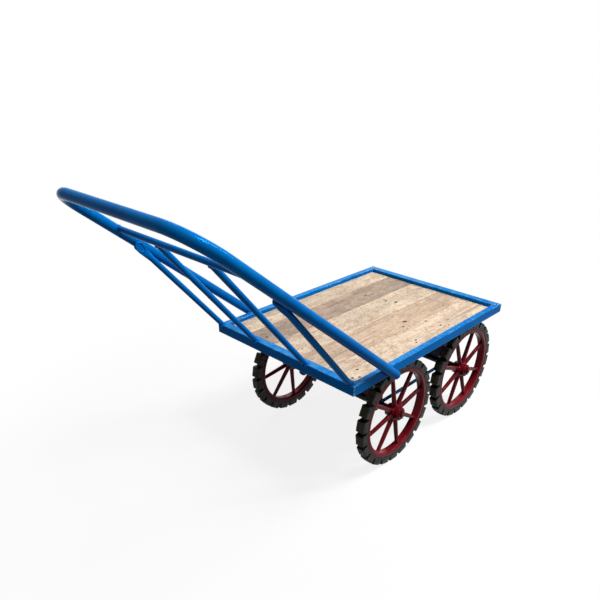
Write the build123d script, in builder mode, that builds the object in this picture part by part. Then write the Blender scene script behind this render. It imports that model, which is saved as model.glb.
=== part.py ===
from build123d import *
from math import atan2, cos, degrees, radians, sin, tan
import os

os.makedirs("parts", exist_ok=True)

# Deck frame
deck_width = 700.0
deck_length = 1000.0
rail_top = 505.0
rail_height = 38.0
side_rail_width = 25.0
end_rail_width = 35.0
rail_wall = 2.5
rail_corner = 3.0

# Deck boards, laid lengthwise below the top of the rails
deck_drop = 16.0
board_thickness = 16.0
board_gap = 2.0
seam_shares = [0.0, 0.158, 0.362, 0.588, 0.785, 1.0]
screw_shank = 4.0
screw_head = 8.0
screw_angle = 90.0
screw_reach = 5.0
screw_inset = 24.0
screw_clearance = 0.1

# Supports under the boards
ledge_width = 30.0
bearer_width = 50.0
bearer_height = 20.0
bearer_wall = 2.0

# Running gear
tyre_radius = 222.0
rear_axle_inset = 160.0
wheel_gap = 48.0
wheel_inset = 63.0
axle_diameter = 30.0
journal_diameter = 20.0
axle_tail = 6.0
hanger_gap = 87.0
hanger_thickness = 8.0
hanger_foot_radius = 32.0
hanger_web_gap = 20.0
tie_thickness = 6.0
tie_height = 14.0
tie_eye_radius = 25.0
washer_diameter = 38.0
washer_thickness = 3.0
pin_diameter = 3.2

# Wheels
tyre_width = 36.0
bead_width = 28.0
tyre_root_radius = 199.0
tyre_edge = 4.0
lug_count = 22
lug_length = 47.0
lug_flare = 3.0
lug_edge = 4.0
rim_radius = 190.0
rim_sheet = 3.0
rim_depth = 20.0
rim_corner = 7.0
spoke_count = 8
spoke_diameter = 20.0
spoke_tip_diameter = 15.0
hub_diameter = 57.0
hub_length = 60.0
hub_chamfer = 3.0
bush_diameter = 26.0

# Spoke angles of the standing wheels, from the rear horizontal upwards
front_left_turn = 6.0
front_right_turn = 12.0
rear_left_turn = 30.0
rear_right_turn = 23.0

# Handle
grip_height = 1125.0
grip_reach = 586.0
grip_inset = 2.5
leg_landing = 172.5
leg_tail = 46.0
hoop_diameter = 35.0
hoop_wall = 3.0
bend_radius = 125.0
crossbar_drop = 256.0
crossbar_lift = 6.0
thin_tube = 21.0
thin_wall = 2.5
strut_offset = 130.0
strut_foot_back = 2.0
brace_inset = 20.0
brace_foot_back = 5.0
brace_drop = 350.0
brace_lap_drop = 12.0
paddle_width = 30.0
paddle_thickness = 6.0
paddle_length = 40.0
flattening_length = 45.0

# Clearances
running_fit = 0.05
seat_gap = 0.04
end_play = 0.25

# Places that follow from the width and length of the deck
rear_axle_back = deck_length - rear_axle_inset
front_axle_back = rear_axle_back - 2 * tyre_radius - wheel_gap
wheel_offset = deck_width / 2 - wheel_inset
hanger_offset = wheel_offset - hanger_gap
grip_half_width = deck_width / 2 - grip_inset
brace_offset = deck_width / 2 - brace_inset

# The frame has its origin on the floor, midway along the whole cart
lug_pitch = 360 / lug_count
lug_half_angle = degrees(atan2(lug_length / 2, tyre_radius))
lug_tip_radius = tyre_radius / cos(radians(lug_half_angle))
lug_tip_angles = [lug_pitch * count - 90 + lug_half_angle for count in range(lug_count)]
tyre_reach = max(lug_tip_radius * cos(radians(angle)) for angle in lug_tip_angles)
whole_back = max(rear_axle_back + tyre_reach, deck_length)
front_y = (grip_reach + hoop_diameter / 2 - whole_back) / 2
rear_y = front_y + deck_length
axle_height = tyre_radius
front_axle_y = front_y + front_axle_back
rear_axle_y = front_y + rear_axle_back

# Levels and inner lines of the deck
rail_bottom = rail_top - rail_height
deck_level = rail_top - deck_drop
board_bottom = deck_level - board_thickness
inside_half = deck_width / 2 - side_rail_width
inside_front = front_y + end_rail_width
inside_rear = rear_y - end_rail_width
ledge_thickness = board_bottom - rail_bottom
bearer_bottom = board_bottom - bearer_height
seams = [2 * inside_half * share - inside_half for share in seam_shares]
screw_columns = [edge + screw_inset for edge in seams[:-1]] + [edge - screw_inset for edge in seams[1:]]
front_ledge_y = inside_front + ledge_width / 2
rear_ledge_y = inside_rear - ledge_width / 2
screw_rows = [front_ledge_y, front_axle_y, rear_axle_y, rear_ledge_y]


def save(piece, label):
    """Name a finished piece and write it out."""
    piece.label = label
    export_step(piece, f"parts/{label}.step")


def save_mirrored(piece, label):
    """Write out the left-hand twin of a right-hand piece."""
    with BuildPart() as twin:
        mirror(piece, about=Plane.YZ)
    save(twin.part, label)


def straight_tube(start, end, diameter, bore):
    """Tube between two points; a bore of nothing makes a solid bar."""
    run = Vector(end) - Vector(start)
    with BuildPart() as tube:
        with BuildSketch(Plane(origin=start, z_dir=run)):
            Circle(diameter / 2)
            if bore:
                Circle(bore / 2, mode=Mode.SUBTRACT)
        extrude(amount=run.length)
    return tube.part


# Four mitred rails of rectangular tube

def end_rail(outer_y, inward):
    """Cross rail at one end of the deck, mitred to the side rails."""
    with BuildPart() as rail:
        middle = outer_y + inward * end_rail_width / 2
        with BuildSketch(Plane.YZ):
            with Locations((middle, rail_top - rail_height / 2)):
                RectangleRounded(end_rail_width, rail_height, rail_corner)
                RectangleRounded(end_rail_width - 2 * rail_wall, rail_height - 2 * rail_wall,
                                 rail_corner - rail_wall / 2, mode=Mode.SUBTRACT)
        extrude(amount=deck_width / 2, both=True)
        for side in (-1, 1):
            corner = (side * deck_width / 2, outer_y, rail_top)
            mitre_normal = (-side * end_rail_width, -inward * side_rail_width, 0)
            split(bisect_by=Plane(origin=corner, z_dir=mitre_normal))
    return rail.part


with BuildPart() as right_rail:
    with BuildSketch(Plane.XZ.offset(-front_y)):
        with Locations((deck_width / 2 - side_rail_width / 2, rail_top - rail_height / 2)):
            RectangleRounded(side_rail_width, rail_height, rail_corner)
            RectangleRounded(side_rail_width - 2 * rail_wall, rail_height - 2 * rail_wall,
                             rail_corner - rail_wall / 2, mode=Mode.SUBTRACT)
    extrude(amount=-deck_length)
    for mitre_y, inward in ((front_y, 1), (rear_y, -1)):
        corner = (deck_width / 2, mitre_y, rail_top)
        split(bisect_by=Plane(origin=corner, z_dir=(end_rail_width, inward * side_rail_width, 0)))

save(end_rail(front_y, 1), "front_rail")
save(end_rail(rear_y, -1), "rear_rail")
save(right_rail.part, "right_rail")
save_mirrored(right_rail.part, "left_rail")

# Solid outline of the frame, used to cope the feet of the handle tubes
with BuildPart() as frame_block:
    with Locations((0, (front_y + rear_y) / 2, rail_top)):
        Box(deck_width, deck_length, rail_height, align=(Align.CENTER, Align.CENTER, Align.MAX))

# Boards and the screws that hold them
for number, (left_seam, right_seam) in enumerate(zip(seams, seams[1:]), start=1):
    with BuildPart() as board:
        with BuildSketch(Plane.XY.offset(board_bottom)):
            with Locations(((left_seam + right_seam) / 2, (inside_front + inside_rear) / 2)):
                Rectangle(right_seam - left_seam - board_gap, inside_rear - inside_front - board_gap)
        extrude(amount=board_thickness)
        chamfer(board.faces().sort_by(Axis.Z)[-1].edges().filter_by(Axis.Y), board_gap / 2)
        with Locations(Plane.XY.offset(deck_level)):
            board_columns = (left_seam + screw_inset, right_seam - screw_inset)
            with Locations(*[(x, y) for x in board_columns for y in screw_rows]):
                CounterSinkHole(screw_shank / 2 + screw_clearance, screw_head / 2 + screw_clearance,
                                counter_sink_angle=screw_angle)
    save(board.part, f"deck_board_{number}")

hang_down = (Align.CENTER, Align.CENTER, Align.MAX)
screw_head_height = (screw_head - screw_shank) / 2 / tan(radians(screw_angle / 2))
with BuildPart() as deck_screws:
    with Locations(*[(x, y, deck_level) for x in screw_columns for y in screw_rows]):
        Cone(screw_shank / 2, screw_head / 2, screw_head_height, align=hang_down)
        Cylinder(screw_shank / 2, board_thickness + screw_reach, align=hang_down)
save(deck_screws.part, "deck_screws")


# Flat ledges inside the end rails and two tube bearers over the axles

def ledge(middle_y):
    """Flat bar that carries one end of the boards."""
    with BuildPart() as bar:
        with Locations((0, middle_y, board_bottom)):
            Box(2 * inside_half, ledge_width, ledge_thickness, align=hang_down)
        with Locations(*[(x, middle_y, board_bottom) for x in screw_columns]):
            Hole(screw_shank / 2 + screw_clearance)
    return bar.part


def bearer(axle_y):
    """Flat-laid tube between the side rails, over one axle."""
    with BuildPart() as tube:
        with BuildSketch(Plane.YZ):
            with Locations((axle_y, board_bottom - bearer_height / 2)):
                Rectangle(bearer_width, bearer_height)
                Rectangle(bearer_width - 2 * bearer_wall, bearer_height - 2 * bearer_wall,
                          mode=Mode.SUBTRACT)
        extrude(amount=inside_half, both=True)
        with Locations(*[(x, axle_y, board_bottom) for x in screw_columns]):
            Hole(screw_shank / 2 + screw_clearance, depth=bearer_height / 2)
    return tube.part


save(ledge(front_ledge_y), "front_ledge")
save(ledge(rear_ledge_y), "rear_ledge")
save(bearer(front_axle_y), "front_bearer")
save(bearer(rear_axle_y), "rear_bearer")


# Hanger plates, axles and tie straps

def hanger(axle_y):
    """Right-hand plate from a bearer down around its axle, with a cross web that stands on the axle."""
    web_bottom = axle_height + axle_diameter / 2 + seat_gap
    with BuildPart() as plate:
        with BuildSketch(Plane.YZ.offset(hanger_offset)):
            with Locations((axle_y, axle_height)):
                Circle(hanger_foot_radius)
            with Locations((axle_y, bearer_bottom)):
                Rectangle(bearer_width, hanger_thickness, align=(Align.CENTER, Align.MAX))
            make_hull()
            with Locations((axle_y, axle_height)):
                Circle(axle_diameter / 2 + seat_gap, mode=Mode.SUBTRACT)
        extrude(amount=hanger_thickness / 2, both=True)
        with BuildSketch(Plane.XZ.offset(-axle_y)):
            with Locations((hanger_offset, web_bottom)):
                Rectangle(hanger_offset - hanger_web_gap / 2, bearer_bottom - web_bottom,
                          align=(Align.MAX, Align.MIN))
        extrude(amount=hanger_thickness / 2, both=True)
    return plate.part


hub_inner = wheel_offset - hub_length / 2
hub_outer = wheel_offset + hub_length / 2
shoulder = hub_inner - end_play - washer_thickness
pin_place = hub_outer + end_play + washer_thickness + seat_gap + pin_diameter / 2
axle_end = pin_place + axle_tail


def axle(axle_y):
    """Fixed bar with a turned journal and a pin hole at each end."""
    with BuildPart() as bar:
        with Locations(Location((0, axle_y, axle_height), (0, 90, 0))):
            Cylinder(axle_diameter / 2, 2 * shoulder)
            Cylinder(journal_diameter / 2, 2 * axle_end)
        end_faces = bar.faces().sort_by(Axis.X)
        chamfer(end_faces[0].edges() + end_faces[-1].edges(), hub_chamfer / 2)
        with Locations((pin_place, axle_y, axle_height), (-pin_place, axle_y, axle_height)):
            Cylinder(pin_diameter / 2 + seat_gap, axle_diameter, mode=Mode.SUBTRACT)
    return bar.part


with BuildPart() as right_tie:
    with BuildSketch(Plane.YZ.offset(hanger_offset + hanger_thickness / 2)):
        with Locations((front_axle_y, axle_height), (rear_axle_y, axle_height)):
            Circle(tie_eye_radius)
        with Locations(((front_axle_y + rear_axle_y) / 2, axle_height)):
            Rectangle(rear_axle_y - front_axle_y, tie_height)
        with Locations((front_axle_y, axle_height), (rear_axle_y, axle_height)):
            Circle(axle_diameter / 2 + seat_gap, mode=Mode.SUBTRACT)
    extrude(amount=tie_thickness)

for axle_y, place in ((front_axle_y, "front"), (rear_axle_y, "rear")):
    save(axle(axle_y), f"{place}_axle")
    right_hanger = hanger(axle_y)
    save(right_hanger, f"{place}_right_hanger")
    save_mirrored(right_hanger, f"{place}_left_hanger")
save(right_tie.part, "right_tie")
save_mirrored(right_tie.part, "left_tie")

with BuildPart() as axle_washers:
    inner_place = shoulder + washer_thickness / 2
    outer_place = hub_outer + end_play + washer_thickness / 2
    washer_places = (-outer_place, -inner_place, inner_place, outer_place)
    spots = [(x, y, axle_height) for x in washer_places for y in (front_axle_y, rear_axle_y)]
    with Locations(*[Location(spot, (0, 90, 0)) for spot in spots]):
        Cylinder(washer_diameter / 2, washer_thickness)
        Cylinder(journal_diameter / 2 + seat_gap, washer_thickness, mode=Mode.SUBTRACT)
save(axle_washers.part, "axle_washers")

with BuildPart() as pin:
    with BuildLine(Plane.YZ) as pin_path:
        eye = CenterArc((0, journal_diameter / 2 + 2 * pin_diameter), 1.5 * pin_diameter, -80, 320)
        shank = Line((0, journal_diameter / 2 + pin_diameter / 4),
                     (0, -journal_diameter / 2 - pin_diameter / 2))
        bend = JernArc(shank @ 1, shank % 1, 2 * pin_diameter, 60)
        Line(bend @ 1, bend @ 1 + 1.5 * pin_diameter * (bend % 1))
    with BuildSketch(Plane(origin=eye @ 0, z_dir=(0, (eye % 0).Y, (eye % 0).Z))):
        Circle(pin_diameter / 2)
    sweep(path=eye)
    with BuildSketch(Plane(origin=shank @ 0, z_dir=shank % 0)):
        Circle(pin_diameter / 2)
    sweep(path=pin_path.edges()[1:])

with BuildPart() as split_pins:
    pin_spots = [(x, y, axle_height) for x in (-pin_place, pin_place) for y in (front_axle_y, rear_axle_y)]
    with Locations(*pin_spots):
        add(pin.part)
save(split_pins.part, "split_pins")

# Wheel pieces, modelled about a vertical axis and stood up when placed
web_radius = rim_radius - rim_depth
tyre_seat = web_radius + rim_sheet
rim_width = bead_width + 2 * rim_sheet + 2 * seat_gap
channel_corner = rim_corner - rim_sheet
tread_seat = rim_radius + seat_gap

lug_height = tyre_radius - tyre_root_radius + tyre_edge
lug_side_angle = degrees(atan2(lug_height, lug_flare / 2))

with BuildPart() as lug:
    with BuildSketch():
        with Locations((tyre_radius - lug_height / 2, 0)):
            Trapezoid(lug_length + lug_flare, lug_height, lug_side_angle, rotation=-90)
    extrude(amount=tyre_width / 2, both=True)
    chamfer(lug.faces().sort_by(Axis.X)[-1].edges().filter_by(Axis.Y), lug_edge)

with BuildPart() as tyre:
    with BuildSketch(Plane.XZ):
        with Locations((tyre_seat + seat_gap, 0)):
            Rectangle(tread_seat - tyre_seat - seat_gap, bead_width, align=(Align.MIN, Align.CENTER))
        fillet(vertices().group_by(Axis.X)[0], channel_corner)
        with Locations((tread_seat, 0)):
            Rectangle(tyre_root_radius - tread_seat, tyre_width, align=(Align.MIN, Align.CENTER))
        fillet(vertices().group_by(Axis.X)[-1], tyre_edge)
    revolve(axis=Axis.Z)
    with PolarLocations(0, lug_count):
        add(lug.part)

with BuildPart() as rim:
    with BuildSketch(Plane.XZ):
        with Locations((web_radius, 0)):
            Rectangle(rim_depth, rim_width, align=(Align.MIN, Align.CENTER))
        fillet(vertices().group_by(Axis.X)[0], rim_corner)
        with BuildSketch(Plane.XZ, mode=Mode.SUBTRACT):
            with Locations((tyre_seat, 0)):
                Rectangle(rim_depth, rim_width - 2 * rim_sheet, align=(Align.MIN, Align.CENTER))
            fillet(vertices().group_by(Axis.X)[0], channel_corner)
    revolve(axis=Axis.Z)

with BuildPart() as hub:
    Cylinder(hub_diameter / 2, hub_length)
    chamfer(hub.edges().filter_by(GeomType.CIRCLE), hub_chamfer)
    Cylinder(bush_diameter / 2 + seat_gap, hub_length, mode=Mode.SUBTRACT)

with BuildPart() as bush:
    Cylinder(bush_diameter / 2, hub_length)
    Cylinder(journal_diameter / 2 + running_fit, hub_length, mode=Mode.SUBTRACT)


spoke_start = hub_diameter / 2 * cos(radians(180 / spoke_count))


def spokes(turn):
    """Round tapered bars from the hub to the rim, coped to both."""
    with BuildPart() as bars:
        with PolarLocations(spoke_start, spoke_count, start_angle=90 + turn):
            Cone(spoke_diameter / 2, spoke_tip_diameter / 2, web_radius - spoke_start, rotation=(0, 90, 0),
                 align=(Align.CENTER, Align.CENTER, Align.MIN))
        Cylinder(web_radius - seat_gap, rim_width, mode=Mode.INTERSECT)
        Cylinder(hub_diameter / 2 + seat_gap, hub_length, mode=Mode.SUBTRACT)
    return bars.part


def place_wheel(name, side, axle_y, turn):
    """Stand the wheel pieces up on one end of an axle and write them out."""
    pieces = {
        "tyre": tyre.part,
        "rim": rim.part,
        "spokes": spokes(turn),
        "hub": hub.part,
        "bush": bush.part,
    }
    for kind, piece in pieces.items():
        with BuildPart() as stood:
            with Locations(Location((side * wheel_offset, axle_y, axle_height), (0, 90, 0))):
                add(piece)
        save(stood.part, f"{name}_{kind}")


place_wheel("front_left", -1, front_axle_y, front_left_turn)
place_wheel("front_right", 1, front_axle_y, front_right_turn)
place_wheel("rear_left", -1, rear_axle_y, rear_left_turn)
place_wheel("rear_right", 1, rear_axle_y, rear_right_turn)

# Handle hoop in its leaning plane: across the plane, then down the slope
handle_lean = atan2(grip_height - rail_top, grip_reach + leg_landing)
slope_length = (grip_height - rail_top) / sin(handle_lean)
handle_plane = Plane(origin=(0, front_y - grip_reach, grip_height), x_dir=(1, 0, 0),
                     z_dir=(0, sin(handle_lean), cos(handle_lean)))
leg_splay = (deck_width / 2 + hoop_diameter / 2 + seat_gap - grip_half_width) / slope_length
leg_length = slope_length + leg_tail


def hoop_sweep(diameter, bore):
    """Bent tube from the foot of one leg, over the grip, to the other foot."""
    foot_half = grip_half_width + leg_splay * leg_length
    with BuildPart() as bent:
        with BuildLine(handle_plane) as course:
            FilletPolyline((-foot_half, leg_length), (-grip_half_width, 0), (grip_half_width, 0),
                           (foot_half, leg_length), radius=bend_radius)
        with BuildSketch(Plane(origin=course.line @ 0, z_dir=course.line % 0)):
            Circle(diameter / 2)
            if bore:
                Circle(bore / 2, mode=Mode.SUBTRACT)
        sweep(path=course.line)
    return bent.part


thin_bore = thin_tube - 2 * thin_wall
hoop_outline = hoop_sweep(hoop_diameter + 2 * seat_gap, 0)
save(hoop_sweep(hoop_diameter, hoop_diameter - 2 * hoop_wall), "handle_hoop")

# Crossbar between the legs and two struts from it down to the front rail
crossbar_half = grip_half_width + leg_splay * crossbar_drop
crossbar_ends = [handle_plane.from_local_coords((x, crossbar_drop, crossbar_lift))
                 for x in (-crossbar_half, crossbar_half)]
with BuildPart() as handle_crossbar:
    add(straight_tube(*crossbar_ends, thin_tube, thin_bore))
    add(hoop_outline, mode=Mode.SUBTRACT)
save(handle_crossbar.part, "handle_crossbar")

strut_foot = Vector(strut_offset, front_y + strut_foot_back, rail_top)
strut_top = handle_plane.from_local_coords((strut_offset, crossbar_drop, crossbar_lift))
strut_tail = (strut_foot - strut_top).normalized() * thin_tube
with BuildPart() as right_strut:
    add(straight_tube(strut_top, strut_foot + strut_tail, thin_tube, thin_bore))
    add(straight_tube(*crossbar_ends, thin_tube + 2 * seat_gap, 0), mode=Mode.SUBTRACT)
    add(frame_block.part, mode=Mode.SUBTRACT)
save(right_strut.part, "right_strut")
save_mirrored(right_strut.part, "left_strut")

# Brace from the front corner up to a flattened end lapped on the inside of the leg
leg_inside = grip_half_width + leg_splay * brace_drop - hoop_diameter / 2
lap_half = leg_inside - paddle_thickness / 2 - seat_gap
brace_foot = Vector(brace_offset, front_y + brace_foot_back, rail_top)
brace_top = handle_plane.from_local_coords((lap_half, brace_drop, -brace_lap_drop))
brace_run = brace_top - brace_foot
brace_way = brace_run.normalized()
across = Vector(1, 0, 0) - brace_way * brace_way.X
round_end = brace_top - brace_way * (paddle_length / 2 + flattening_length)
flat_start = brace_top - brace_way * (paddle_length / 2)
brace_tail = brace_foot - brace_way * thin_tube
with BuildPart() as right_brace:
    with BuildSketch(Plane(origin=brace_tail, z_dir=brace_way)):
        Circle(thin_tube / 2)
        Circle(thin_bore / 2, mode=Mode.SUBTRACT)
    extrude(amount=(round_end - brace_tail).length)
    with BuildSketch(Plane(origin=round_end, x_dir=across, z_dir=brace_way)):
        Circle(thin_tube / 2)
    with BuildSketch(Plane(origin=flat_start, x_dir=across, z_dir=brace_way)):
        RectangleRounded(paddle_thickness, paddle_width, paddle_thickness / 3)
    loft()
    with BuildSketch(Plane(origin=flat_start, x_dir=brace_way, z_dir=across)):
        Rectangle(paddle_length, paddle_width, align=(Align.MIN, Align.CENTER))
        fillet(vertices().group_by(Axis.X)[-1], paddle_width / 2.2)
    extrude(amount=paddle_thickness / 2, both=True)
    add(hoop_outline, mode=Mode.SUBTRACT)
    add(frame_block.part, mode=Mode.SUBTRACT)
save(right_brace.part, "right_brace")
save_mirrored(right_brace.part, "left_brace")
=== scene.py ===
"""Looks of a platform hand cart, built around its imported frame.

Everything is in metres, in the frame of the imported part: the origin is on the floor under the middle of the
cart, +Y runs from the handle to the rear of the deck and +Z is up.
"""

import logging
import math
from contextlib import contextmanager
from dataclasses import dataclass, replace
from enum import Enum
from functools import partial, reduce
from typing import Any, Callable, Iterator, Optional, Sequence, Union

import bpy
from mathutils import Euler, Matrix, Vector


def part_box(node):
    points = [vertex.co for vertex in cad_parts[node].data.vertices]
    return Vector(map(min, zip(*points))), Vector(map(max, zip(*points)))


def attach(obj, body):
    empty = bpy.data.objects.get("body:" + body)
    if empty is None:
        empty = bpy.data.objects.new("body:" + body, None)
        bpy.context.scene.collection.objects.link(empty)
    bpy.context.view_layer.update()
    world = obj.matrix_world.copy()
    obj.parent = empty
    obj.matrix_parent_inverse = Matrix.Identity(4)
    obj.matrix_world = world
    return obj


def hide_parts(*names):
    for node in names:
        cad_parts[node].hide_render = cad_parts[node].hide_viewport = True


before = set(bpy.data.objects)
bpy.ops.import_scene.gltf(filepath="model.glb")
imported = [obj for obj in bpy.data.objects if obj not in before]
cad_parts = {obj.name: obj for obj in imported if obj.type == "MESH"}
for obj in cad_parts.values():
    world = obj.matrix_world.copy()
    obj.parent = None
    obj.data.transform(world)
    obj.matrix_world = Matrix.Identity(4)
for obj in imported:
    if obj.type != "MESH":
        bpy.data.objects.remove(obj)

LOG = logging.getLogger("hand_cart")

Piece = bpy.types.Object
Finish = bpy.types.Material
Socket = bpy.types.NodeSocket
Point = tuple[float, float, float]
Colour = tuple[float, float, float]
Feed = Union[Socket, float, Sequence[float]]
Test = Callable[[Vector, Vector], bool]

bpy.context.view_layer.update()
FULL_TURN = 2 * math.pi
QUARTER_TURN = math.pi / 2
WELD_TOLERANCE = 0.00002
HANDLE_LEAN = 0.6852
THIN_TUBE = 0.0105
# Share of a normal from which a face looks along an axis, and of a radius from which a place is outermost.
SQUARE_ON = 0.9
NEAR_EDGE = 0.9
WHITE = (1.0, 1.0, 1.0, 1.0)


class Pick(Enum):
    """What a selection in edit mode is made of."""

    POINTS = "VERT"
    EDGES = "EDGE"
    FACES = "FACE"


class Body(Enum):
    """Moving bodies of the cart."""

    CHASSIS = "chassis"
    FRONT_LEFT = "front_left_wheel"
    FRONT_RIGHT = "front_right_wheel"
    REAR_LEFT = "rear_left_wheel"
    REAR_RIGHT = "rear_right_wheel"


class Slot(Enum):
    """Material slots of the record."""

    FRAME = "frame_paint"
    BOARD = "deck_wood"
    GREY_BOARD = "grey_wood"
    FASTENER = "fastener_steel"
    WHEEL = "wheel_paint"
    TYRE = "tyre_rubber"
    BUSH = "bush_bronze"


# Modelling by hand

def put_down() -> None:
    """Leave edit mode and deselect every object."""
    active = bpy.context.view_layer.objects.active
    if active and active.mode != "OBJECT":
        bpy.ops.object.mode_set(mode="OBJECT")
    bpy.ops.object.select_all(action="DESELECT")


def take(piece: Piece) -> None:
    """Make a piece the only selected object and the active one.

    Args:
        piece: The piece.
    """
    put_down()
    piece.select_set(True)
    bpy.context.view_layer.objects.active = piece


@contextmanager
def editing(piece: Piece) -> Iterator[None]:
    """Hold a piece in edit mode with all of it selected.

    Args:
        piece: Mesh object to edit.
    """
    take(piece)
    bpy.ops.object.mode_set(mode="EDIT")
    bpy.ops.mesh.select_mode(type=Pick.POINTS.value)
    bpy.ops.mesh.select_all(action="SELECT")
    yield
    bpy.ops.object.mode_set(mode="OBJECT")


def choose(piece: Piece, kind: Pick, test: Test) -> None:
    """Select points, edges or faces of a piece that is in edit mode.

    Args:
        piece: Mesh object in edit mode.
        kind: What to select.
        test: Takes a place and a direction, which is an edge's run and a point's or face's normal.
    """
    bpy.ops.mesh.select_mode(type=kind.value)
    bpy.ops.mesh.select_all(action="DESELECT")
    bpy.ops.object.mode_set(mode="OBJECT")
    mesh = piece.data
    if kind is Pick.POINTS:
        for point in mesh.vertices:
            point.select = test(point.co, point.normal)
    elif kind is Pick.FACES:
        for face in mesh.polygons:
            face.select = test(face.center, face.normal)
    else:
        for edge in mesh.edges:
            start, end = (mesh.vertices[index].co for index in edge.vertices)
            edge.select = test((start + end) / 2, end - start)
    bpy.ops.object.mode_set(mode="EDIT")


def move(x: float, y: float, z: float) -> None:
    """Move what is selected in edit mode."""
    bpy.ops.transform.translate(value=(x, y, z))


def extrude(x: float, y: float, z: float) -> None:
    """Pull what is selected out of the piece in edit mode."""
    bpy.ops.mesh.extrude_region_move(TRANSFORM_OT_translate={"value": (x, y, z)})


def resize(factors: Point, about: Point = (0, 0, 0)) -> None:
    """Scale what is selected in edit mode about a place."""
    bpy.ops.transform.resize(value=factors, center_override=about)


def bevel(offset: float, segments: int, affect: str = "EDGES") -> None:
    """Round off the edges or points that are selected in edit mode."""
    bpy.ops.mesh.bevel(offset=offset, segments=segments, affect=affect)


def spin(steps: int, angle: float, apart: bool = False) -> None:
    """Spin what is selected in edit mode about the X axis, as a sweep or as copies apart."""
    bpy.ops.mesh.spin(steps=steps, angle=angle, dupli=apart, center=(0, 0, 0), axis=(1, 0, 0))


def mend(within: float = WELD_TOLERANCE) -> None:
    """Weld doubled points of the piece in edit mode and turn its faces outwards.

    Args:
        within: Distance between doubled points.
    """
    bpy.ops.mesh.select_all(action="SELECT")
    bpy.ops.mesh.remove_doubles(threshold=within)
    bpy.ops.mesh.normals_make_consistent(inside=False)


def added(name: str, primitive: Callable[..., Any], **sizes: Any) -> Piece:
    """Add a primitive to start a piece from.

    Args:
        name: Name of the new object.
        primitive: Operator that adds it.
        sizes: What the operator takes.

    Returns:
        The new object.
    """
    put_down()
    primitive(**sizes)
    bpy.context.object.name = name
    return bpy.context.object


def rod(name: str, radius: float, length: float, sides: int) -> Piece:
    """Add a round bar along Y to start a piece from.

    Args:
        name: Name of the new object.
        radius: Its radius.
        length: Its length.
        sides: Number of its sides.

    Returns:
        The bar.
    """
    bar = added(name, bpy.ops.mesh.primitive_cylinder_add, vertices=sides, radius=radius, depth=length,
                rotation=(QUARTER_TURN, 0, 0))
    bpy.ops.object.transform_apply(location=True, rotation=True, scale=True)
    return bar


def draw_line(name: str, points: Sequence[Point]) -> Piece:
    """Draw an open line by extruding one point.

    Args:
        name: Name of the new object.
        points: Places that the line goes through.

    Returns:
        The line, as a mesh of edges.
    """
    line = added(name, bpy.ops.mesh.primitive_plane_add)
    with editing(line):
        bpy.ops.mesh.merge(type="CENTER")
        move(*points[0])
        for start, end in zip(points, points[1:]):
            step = Vector(end) - Vector(start)
            bpy.ops.mesh.extrude_vertices_move(TRANSFORM_OT_translate={"value": step})
    return line


def both_sides(half: Sequence[tuple[float, float]]) -> list[Point]:
    """Mirror half a profile, drawn towards the middle, to the other side of the wheel.

    Args:
        half: Places across and radii.

    Returns:
        Points of the whole profile, above the axle.
    """
    left = [(-across, 0.0, radius) for across, radius in half]
    return left + [(across, 0.0, radius) for across, radius in reversed(half)]


def turn_about_axle(piece: Piece, steps: int) -> None:
    """Spin a drawn profile once round the X axis and close it.

    Args:
        piece: The profile.
        steps: Number of steps round the axis.
    """
    with editing(piece):
        spin(steps, FULL_TURN)
        mend()


def refine(piece: Piece, kind: str, **settings: Any) -> None:
    """Add a modifier to a piece and apply it.

    Args:
        piece: Mesh object.
        kind: Type of the modifier.
        settings: Its properties.
    """
    take(piece)
    modifier = piece.modifiers.new(kind.lower(), kind)
    for key, value in settings.items():
        setattr(modifier, key, value)
    bpy.ops.object.modifier_apply(modifier=modifier.name)


def roughen(piece: Piece, grain: float, depth: float) -> None:
    """Push the surface of a piece in and out a little, as casting, wear or weather does.

    Args:
        piece: Mesh object.
        grain: Size of the unevenness.
        depth: Most that the surface moves, in and out together.
    """
    clouds = bpy.data.textures.new(f"{piece.name}_unevenness", "CLOUDS")
    clouds.noise_scale = grain
    clouds.noise_depth = 2
    refine(piece, "DISPLACE", texture=clouds, strength=depth, texture_coords="LOCAL", direction="NORMAL")


def copied(pattern: Piece, name: str, places: Sequence[Matrix]) -> Piece:
    """Copy a pattern to one or more places and join the copies into one piece.

    Args:
        pattern: Mesh object modelled at the origin.
        name: Name of the new piece.
        places: Where each copy goes.

    Returns:
        The new piece, with a mesh of its own.
    """
    copies = []
    for place in places:
        one = pattern.copy()
        one.data = pattern.data.copy()
        one.data.transform(place)
        bpy.context.scene.collection.objects.link(one)
        copies.append(one)
    put_down()
    for one in copies:
        one.select_set(True)
    bpy.context.view_layer.objects.active = copies[0]
    if len(copies) > 1:
        bpy.ops.object.join()
    copies[0].name = name
    return copies[0]


def facing(spot: Vector, way: Vector, axis: str, up: str) -> Matrix:
    """Place at a spot with one axis turned to a direction."""
    return Matrix.Translation(spot) @ way.to_track_quat(axis, up).to_matrix().to_4x4()


def discard(*patterns: Piece) -> None:
    """Remove patterns that have been copied."""
    for pattern in patterns:
        bpy.data.objects.remove(pattern)


def cover(piece: Piece, finish: Finish) -> None:
    """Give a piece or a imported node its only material."""
    piece.data.materials.clear()
    piece.data.materials.append(finish)


def fit(piece: Piece, body: Body, finish: Finish, nodes: Sequence[str] = (),
        crease: float = 40.0) -> None:
    """Shade a finished piece, give it its finish and put it on its body.

    Args:
        piece: Finished mesh object at the origin.
        body: Body that it rides on.
        finish: Its material.
        nodes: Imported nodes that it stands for.
        crease: Angle in degrees above which an edge stays sharp.
    """
    take(piece)
    bpy.ops.object.shade_smooth_by_angle(angle=math.radians(crease))
    cover(piece, finish)
    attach(piece, body.value)
    if nodes:
        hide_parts(*nodes)
    LOG.info("built %s: %d faces", piece.name, len(piece.data.polygons))


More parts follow.
